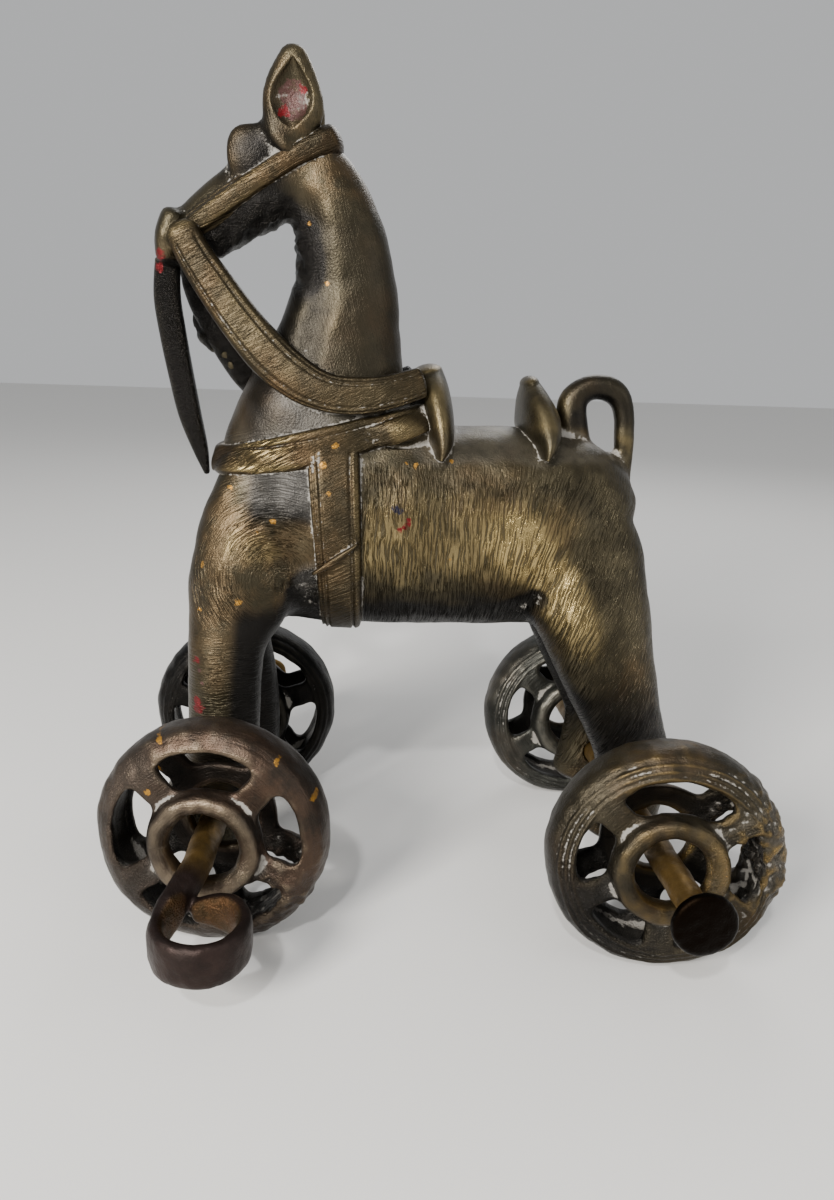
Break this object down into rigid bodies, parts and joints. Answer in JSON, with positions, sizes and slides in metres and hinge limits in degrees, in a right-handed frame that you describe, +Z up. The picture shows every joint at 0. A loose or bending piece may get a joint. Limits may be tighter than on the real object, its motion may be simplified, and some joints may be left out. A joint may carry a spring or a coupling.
{
  "type": "brass horse figurine on wheels",
  "caption": "Cast brass toy horse in harness and saddle bows, standing on hollow cage wheels that turn on iron axles, with a pull eye at the front.",
  "frame": {"origin": "on the ground, at the middle of the bounding box's underside, below the horse's belly", "axes": "+Z up, the horse faces -X and its left side is -Y"},
  "size_m": [0.1268, 0.1278, 0.1609],
  "materials": {
    "horse_brass": "cast brass with a dark brown patina, rubbed golden on the flanks and straps, chased with fine hair lines",
    "wheel_brass": "rough cast brass with a grey-brown patina and golden rubbed edges",
    "axle_iron": "forged iron, golden-brown on the shanks and dark brown at the ends"
  },
  "bodies": {
    "horse_and_axles": {"horse": "horse_brass", "axle_front": "axle_iron", "axle_rear": "axle_iron"},
    "front_left_wheel": {"wheel_front_left": "wheel_brass"},
    "front_right_wheel": {"wheel_front_right": "wheel_brass"},
    "rear_left_wheel": {"wheel_rear_left": "wheel_brass"},
    "rear_right_wheel": {"wheel_rear_right": "wheel_brass"}
  },
  "joints": [
    {"name": "front_left_roll", "type": "hinge", "parent": "horse_and_axles", "child": "front_left_wheel", "pos_m": [-0.0411, -0.0314, 0.02167], "axis": [0.1564, 0.9877, 0], "continuous": true},
    {"name": "front_right_roll", "type": "hinge", "parent": "horse_and_axles", "child": "front_right_wheel", "pos_m": [-0.0407, 0.0314, 0.02167], "axis": [-0.0175, 0.9998, 0], "continuous": true},
    {"name": "rear_left_roll", "type": "hinge", "parent": "horse_and_axles", "child": "rear_left_wheel", "pos_m": [0.0415, -0.0417, 0.02167], "axis": [0.1011, 0.9949, 0], "continuous": true},
    {"name": "rear_right_roll", "type": "hinge", "parent": "horse_and_axles", "child": "rear_right_wheel", "pos_m": [0.0407, 0.029, 0.02167], "axis": [0, 1, 0], "continuous": true}
  ]
}
